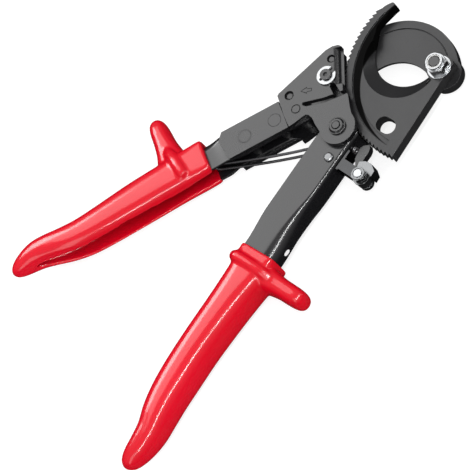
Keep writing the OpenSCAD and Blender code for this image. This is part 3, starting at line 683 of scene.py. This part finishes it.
def finish_handle(which, rear, place, low, high):
    """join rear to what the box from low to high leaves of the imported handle"""
    front = packed_copy(f"{which}_handle", f"{which}_front")
    cutter = block(f"{which}_block", place, low, high)
    front = carve(front, cutter, f"{which}_front_cut", PRESSED)
    steel = join([rear, front], f"{which}_handle_pressed")
    steel.data.materials.append(PRESSED)
    smooth_by_angle(steel, 28)
    fit(steel, f"{which}_side", f"{which}_handle")


def fixed_station(x):
    """the channel deepens and its bends grow towards the grip"""
    web = -9.8 - 2.5 * ease(-x, 40, 32)
    leg = 8.7 if x > -2 else 8.9 - 1.6 * ease(-x, 50, 20)
    bend = 2.4 + 6.2 * ease(-x, 30, 40)
    return (x, web, leg, *FIXED_Z, bend)


def fixed_handle():
    stations = [FIXED_SPLIT, -10, -20, -28] + [-32 - 2 * i for i in range(24)]
    rear = channel("fixed_rear", [fixed_station(x) for x in stations], on_fixed)
    # oval hole through the web and the bend below it, along one slanting line
    slant = Vector((0.117, 0.548, -0.828)).normalized()
    hole_up = slant.cross(X_AXIS).normalized()
    start = Vector((-64.2, -12.2, 14.0))
    hole = loft("fixed_hole", [(start + slant * reach, X_AXIS, hole_up, 1.8, 0.8, 2.4)
                               for reach in (-5, 14)], 32)
    rear = carve(rear, hole, "fixed_rear_cut", PRESSED)
    finish_handle("fixed", rear, on_fixed, (-260, -60, -20), (FIXED_SPLIT, 60, 60))


def moving_handle():
    z_low, z_high = (corner[2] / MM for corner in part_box("moving_handle"))

    def station(t):
        """the channel narrows where it enters the grip; the lower leg is the shorter"""
        narrow = ease(t, 54.0, 9.5)
        drop = 0.5 * narrow
        web = 29.6 + (t - 21.8) / 38.2 - 0.3 * narrow
        leg = 13.2 + 1.6 * ease(t, 50, 8)
        low_leg = max(leg, 13.2 + 3.6 * ease(t, MOVING_SPLIT, 6) - 2.0 * ease(t, 54, 8))
        bend = 2.3 + 3.2 * ease(t, 52, 14)
        return (t, -web, -leg, z_low + drop, z_high - drop, bend, -low_leg)

    stations = [MOVING_SPLIT, 26, 32, 38, 44, 48] + [50 + 1.5 * i for i in range(20)]
    rear = channel("moving_rear", [station(t) for t in stations],
                   lambda t, y, z: on_moving(t, -y, z))
    # two round holes through both legs
    holes = join([loft("moving_hole", [(on_moving(t, 20.4, z), X_AXIS, Y_AXIS, 2.6, 2.6, 2.0)
                                       for z in (-5, 40)], 48)
                  for t in (27.6, 44.3)], "moving_holes")
    rear = carve(rear, holes, "moving_rear_cut", PRESSED)
    finish_handle("moving", rear, on_moving, (MOVING_SPLIT, -60, -20), (260, 80, 60))


fixed_handle()
moving_handle()

# ------------------------------------------------------------------ springs
BUSH_X, BUSH_Y = (c / MM for c in centre("spring_bush")[:2])
RETURN_WIRE_RADIUS = 0.72
COIL_RADIUS = 3.3
COIL_TURNS = 1.5
COIL_STEPS = 30
COIL_RISE = 2.2


def spring_half(face):
    """hooked end, leg and coil above (face 1) or below (face -1) mid height"""
    z = MID_Z + face * 2.8
    leg_start, leg_end = on_moving(61.2, 17.3, z), Vector((-13.2, 8.2, z))
    half = [on_moving(66.8, 20.4, MID_Z + face * 0.9), on_moving(66.4, 20.2, MID_Z + face * 2.0),
            on_moving(64.6, 18.9, z), leg_start]
    for f in (0.25, 0.5, 0.75, 1.0):
        point = leg_start.lerp(leg_end, f)
        bow = math.sin(math.pi * f)
        half.append((point.x - 0.5 * bow, point.y - 0.4 * bow, point.z))
    half.append((-11.7, 2.8, z))
    # round the bush, away from mid height
    for i in range(COIL_STEPS + 1):
        angle = math.radians(8) - 2 * math.pi * COIL_TURNS * i / COIL_STEPS
        half.append((BUSH_X + COIL_RADIUS * math.cos(angle), BUSH_Y + COIL_RADIUS * math.sin(angle),
                     z + face * COIL_RISE * i / COIL_STEPS))
    return half


def return_spring():
    """one wire: leg, coil, short arm, coil, leg"""
    lower, upper = spring_half(-1), spring_half(1)
    # the arm between the coils: x and y from the bush, z
    arm = [(-4.2, 1.6, lower[-1][2] + 0.3), (-6.9, 3.9, MID_Z - 2.2), (-7.7, 4.4, MID_Z),
           (-6.9, 3.9, MID_Z + 2.2), (-4.2, 1.6, upper[-1][2] - 0.3)]
    arm = [(BUSH_X + x, BUSH_Y + y, z) for x, y, z in arm]
    path = [Vector(p) for p in catmull(lower + arm + upper[::-1], 4)]
    spring = tube("return_spring_wire", path, RETURN_WIRE_RADIUS, WIRE)
    fit(spring, "spring_arm", "return_spring")


def helix_spring(name, base, axis, length, coil_radius, wire_radius, turns):
    """compression spring with closed turns at both ends"""
    axis = axis.normalized()
    side = axis.orthogonal().normalized()
    up = axis.cross(side)
    closed = 0.8
    path = []
    steps = int(turns * 20)
    for i in range(steps + 1):
        angle = 2 * math.pi * turns * i / steps
        turn = i / steps * turns
        if turn < closed:
            rise = wire_radius * 2 * turn
        elif turn > turns - closed:
            rise = length - wire_radius * 2 * (turns - turn)
        else:
            open_length = length - 4 * wire_radius * closed
            rise = (wire_radius * 2 * closed
                    + open_length * (turn - closed) / (turns - 2 * closed))
        radial = side * math.cos(angle) + up * math.sin(angle)
        path.append(base + axis * rise + radial * coil_radius)
    return tube(name, path, wire_radius, WIRE_BRIGHT, 12)


def feed_spring():
    axis = Vector((0.62, -0.78, 0))
    length = 11.8
    base = Vector(centre("feed_pawl_spring")) / MM - axis * (length / 2)
    spring = helix_spring("feed_spring_wire", base, axis, length,
                          coil_radius=2.0, wire_radius=0.36, turns=9)
    fit(spring, "moving_side", "feed_pawl_spring")


def holding_spring():
    low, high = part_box("holding_pawl_spring")
    x, _, z = centre("holding_pawl_spring")
    base = Vector((x / MM, high[1] / MM, z / MM))
    spring = helix_spring("holding_spring_wire", base, -Y_AXIS, (high[1] - low[1]) / MM,
                          coil_radius=1.5, wire_radius=0.26, turns=3)
    fit(spring, "fixed_side", "holding_pawl_spring")


return_spring()
feed_spring()
holding_spring()


# ------------------------------------------------------------------ nylon ring of the lock nut
def nylon_ring():
    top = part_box("blade_nut")[1][2] / MM
    # radius, depth below the nut's top
    profile = [(3.08, 0.95), (3.52, 0.95), (3.54, 0.4), (3.44, 0.22), (3.24, 0.18), (3.10, 0.3)]
    steps, count = 64, len(profile)
    points, faces = [], []
    for i in range(steps):
        angle = 2 * math.pi * i / steps
        base, next_base = i * count, (i + 1) % steps * count
        for j, (radius, depth) in enumerate(profile):
            points.append(((SCREW_X + radius * math.cos(angle)) * MM,
                           (SCREW_Y + radius * math.sin(angle)) * MM, (top - depth) * MM))
            k = (j + 1) % count
            faces.append((base + j, next_base + j, next_base + k, base + k))
    fit(mesh_object("nut_nylon_insert", points, faces, NYLON), "fixed_side")


# ------------------------------------------------------------------ arrow on the front plate
def plate_arrow():
    """outline of an arrow, as a thin raised line"""
    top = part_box("head_plate_front")[1][2] / MM
    tail, tip = Vector((9.6, 24.4, 0)), Vector((6.0, 29.2, 0))
    length = (tip - tail).length
    ahead = (tip - tail).normalized()
    side = Vector((-ahead.y, ahead.x, 0))
    shoulder = length * 0.42
    shaft_half, head_half, line = 0.85, 1.9, 0.28

    def outline(inset):
        half = [(inset, shaft_half - inset), (shoulder - inset * 0.3, shaft_half - inset),
                (shoulder + inset, head_half - 2.2 * inset)]
        shape = half + [(length - 1.6 * inset, 0.0)] + [(x, -y) for x, y in reversed(half)]
        return [tail + ahead * x + side * y for x, y in shape]

    rings = (outline(0.0), outline(line))
    points = [Vector((p.x, p.y, z)) * MM
              for z in (top - 0.05, top + 0.02) for ring in rings for p in ring]
    faces = []
    for i in range(7):
        j = (i + 1) % 7
        faces += [(14 + i, 14 + j, 21 + j, 21 + i), (i, j, 7 + j, 7 + i),
                  (i, j, 14 + j, 14 + i), (7 + i, 7 + j, 21 + j, 21 + i)]
    mark = wire("stamped_mark", (0.012, 0.012, 0.012), rough=0.5)
    arrow = mesh_object("plate_arrow", points, faces, mark, smooth=False)
    fit(arrow, "moving_side")


nylon_ring()
plate_arrow()


# ------------------------------------------------------------------ stage, light, camera
def make_floor():
    half, z = 4, -0.0002
    corners = [(-half, -half, z), (half, -half, z), (half, half, z), (-half, half, z)]
    white = Surface("floor_white").finish({
        "Base Color": (0.30, 0.30, 0.30),
        "Roughness": 0.9,
        "Specular IOR Level": 0.0,
        "Emission Color": (1, 1, 1),
        "Emission Strength": 0.84,
    })
    floor = mesh_object("floor", corners, [(0, 1, 2, 3)], white, smooth=False)
    floor.visible_glossy = False


def make_world():
    """white sky that brightens upwards"""
    world = bpy.data.worlds.new("soft_studio")
    bpy.context.scene.world = world
    sky = Nodes(world)
    direction = sky.add("TexCoord").outputs["Generated"]
    height = sky.add("SeparateXYZ", {0: direction}).outputs["Z"]
    strength = sky.remap(height, low=0.01, high=0.42, start=-0.05, end=0.75)
    background = sky.add("Background", {"Color": (1, 1, 1), "Strength": strength})
    sky.add("OutputWorld", {0: background.outputs[0]})


LIGHT_TARGET = Vector((-0.06, 0.01, 0.012))  # metres


def area(name, offset, size, energy, size_y=None):
    """area light at an offset from the target (metres), facing it"""
    light = bpy.data.lights.new(name, "AREA")
    light.energy = energy
    light.size = size
    if size_y:
        light.shape = "RECTANGLE"
        light.size_y = size_y
    lamp = link_new(name, light)
    position = LIGHT_TARGET + Vector(offset)
    lamp.location = position
    lamp.rotation_euler = (LIGHT_TARGET - position).to_track_quat("-Z", "Y").to_euler()


def make_camera():
    lens = bpy.data.cameras.new("camera")
    camera = link_new("camera", lens)
    lens.sensor_width = 36
    lens.lens = 459.6
    lens.clip_end = 20
    right = Vector((0.5698, -0.7198, -0.3964)).normalized()
    up = Vector((0.8133, 0.4256, 0.3964)).normalized()
    back = Vector((-0.1166, -0.5484, 0.8281)).normalized()
    aim, distance = Vector((-0.0703, 0.0155, 0.0182)), 2.899
    matrix = Matrix((right, up, back)).transposed().to_4x4()
    matrix.translation = aim + back * distance
    camera.matrix_world = matrix
    bpy.context.scene.camera = camera


make_floor()
make_world()
area("key", (0.15, 0.62, 0.90), size=0.75, energy=3.3)
area("left", (-0.05, 0.92, 0.62), size=0.42, energy=3.4)
area("fill", (-0.9, -0.25, 0.7), size=0.35, energy=1.6, size_y=0.9)
area("rim", (0.8, -0.35, 0.5), size=0.10, energy=0.8, size_y=0.8)
# long narrow light for the bright lines along the bends
area("strip", (0.0, -0.44, 0.90), size=1.2, energy=7.0, size_y=0.04)
make_camera()
bpy.context.scene.view_settings.view_transform = "Standard"
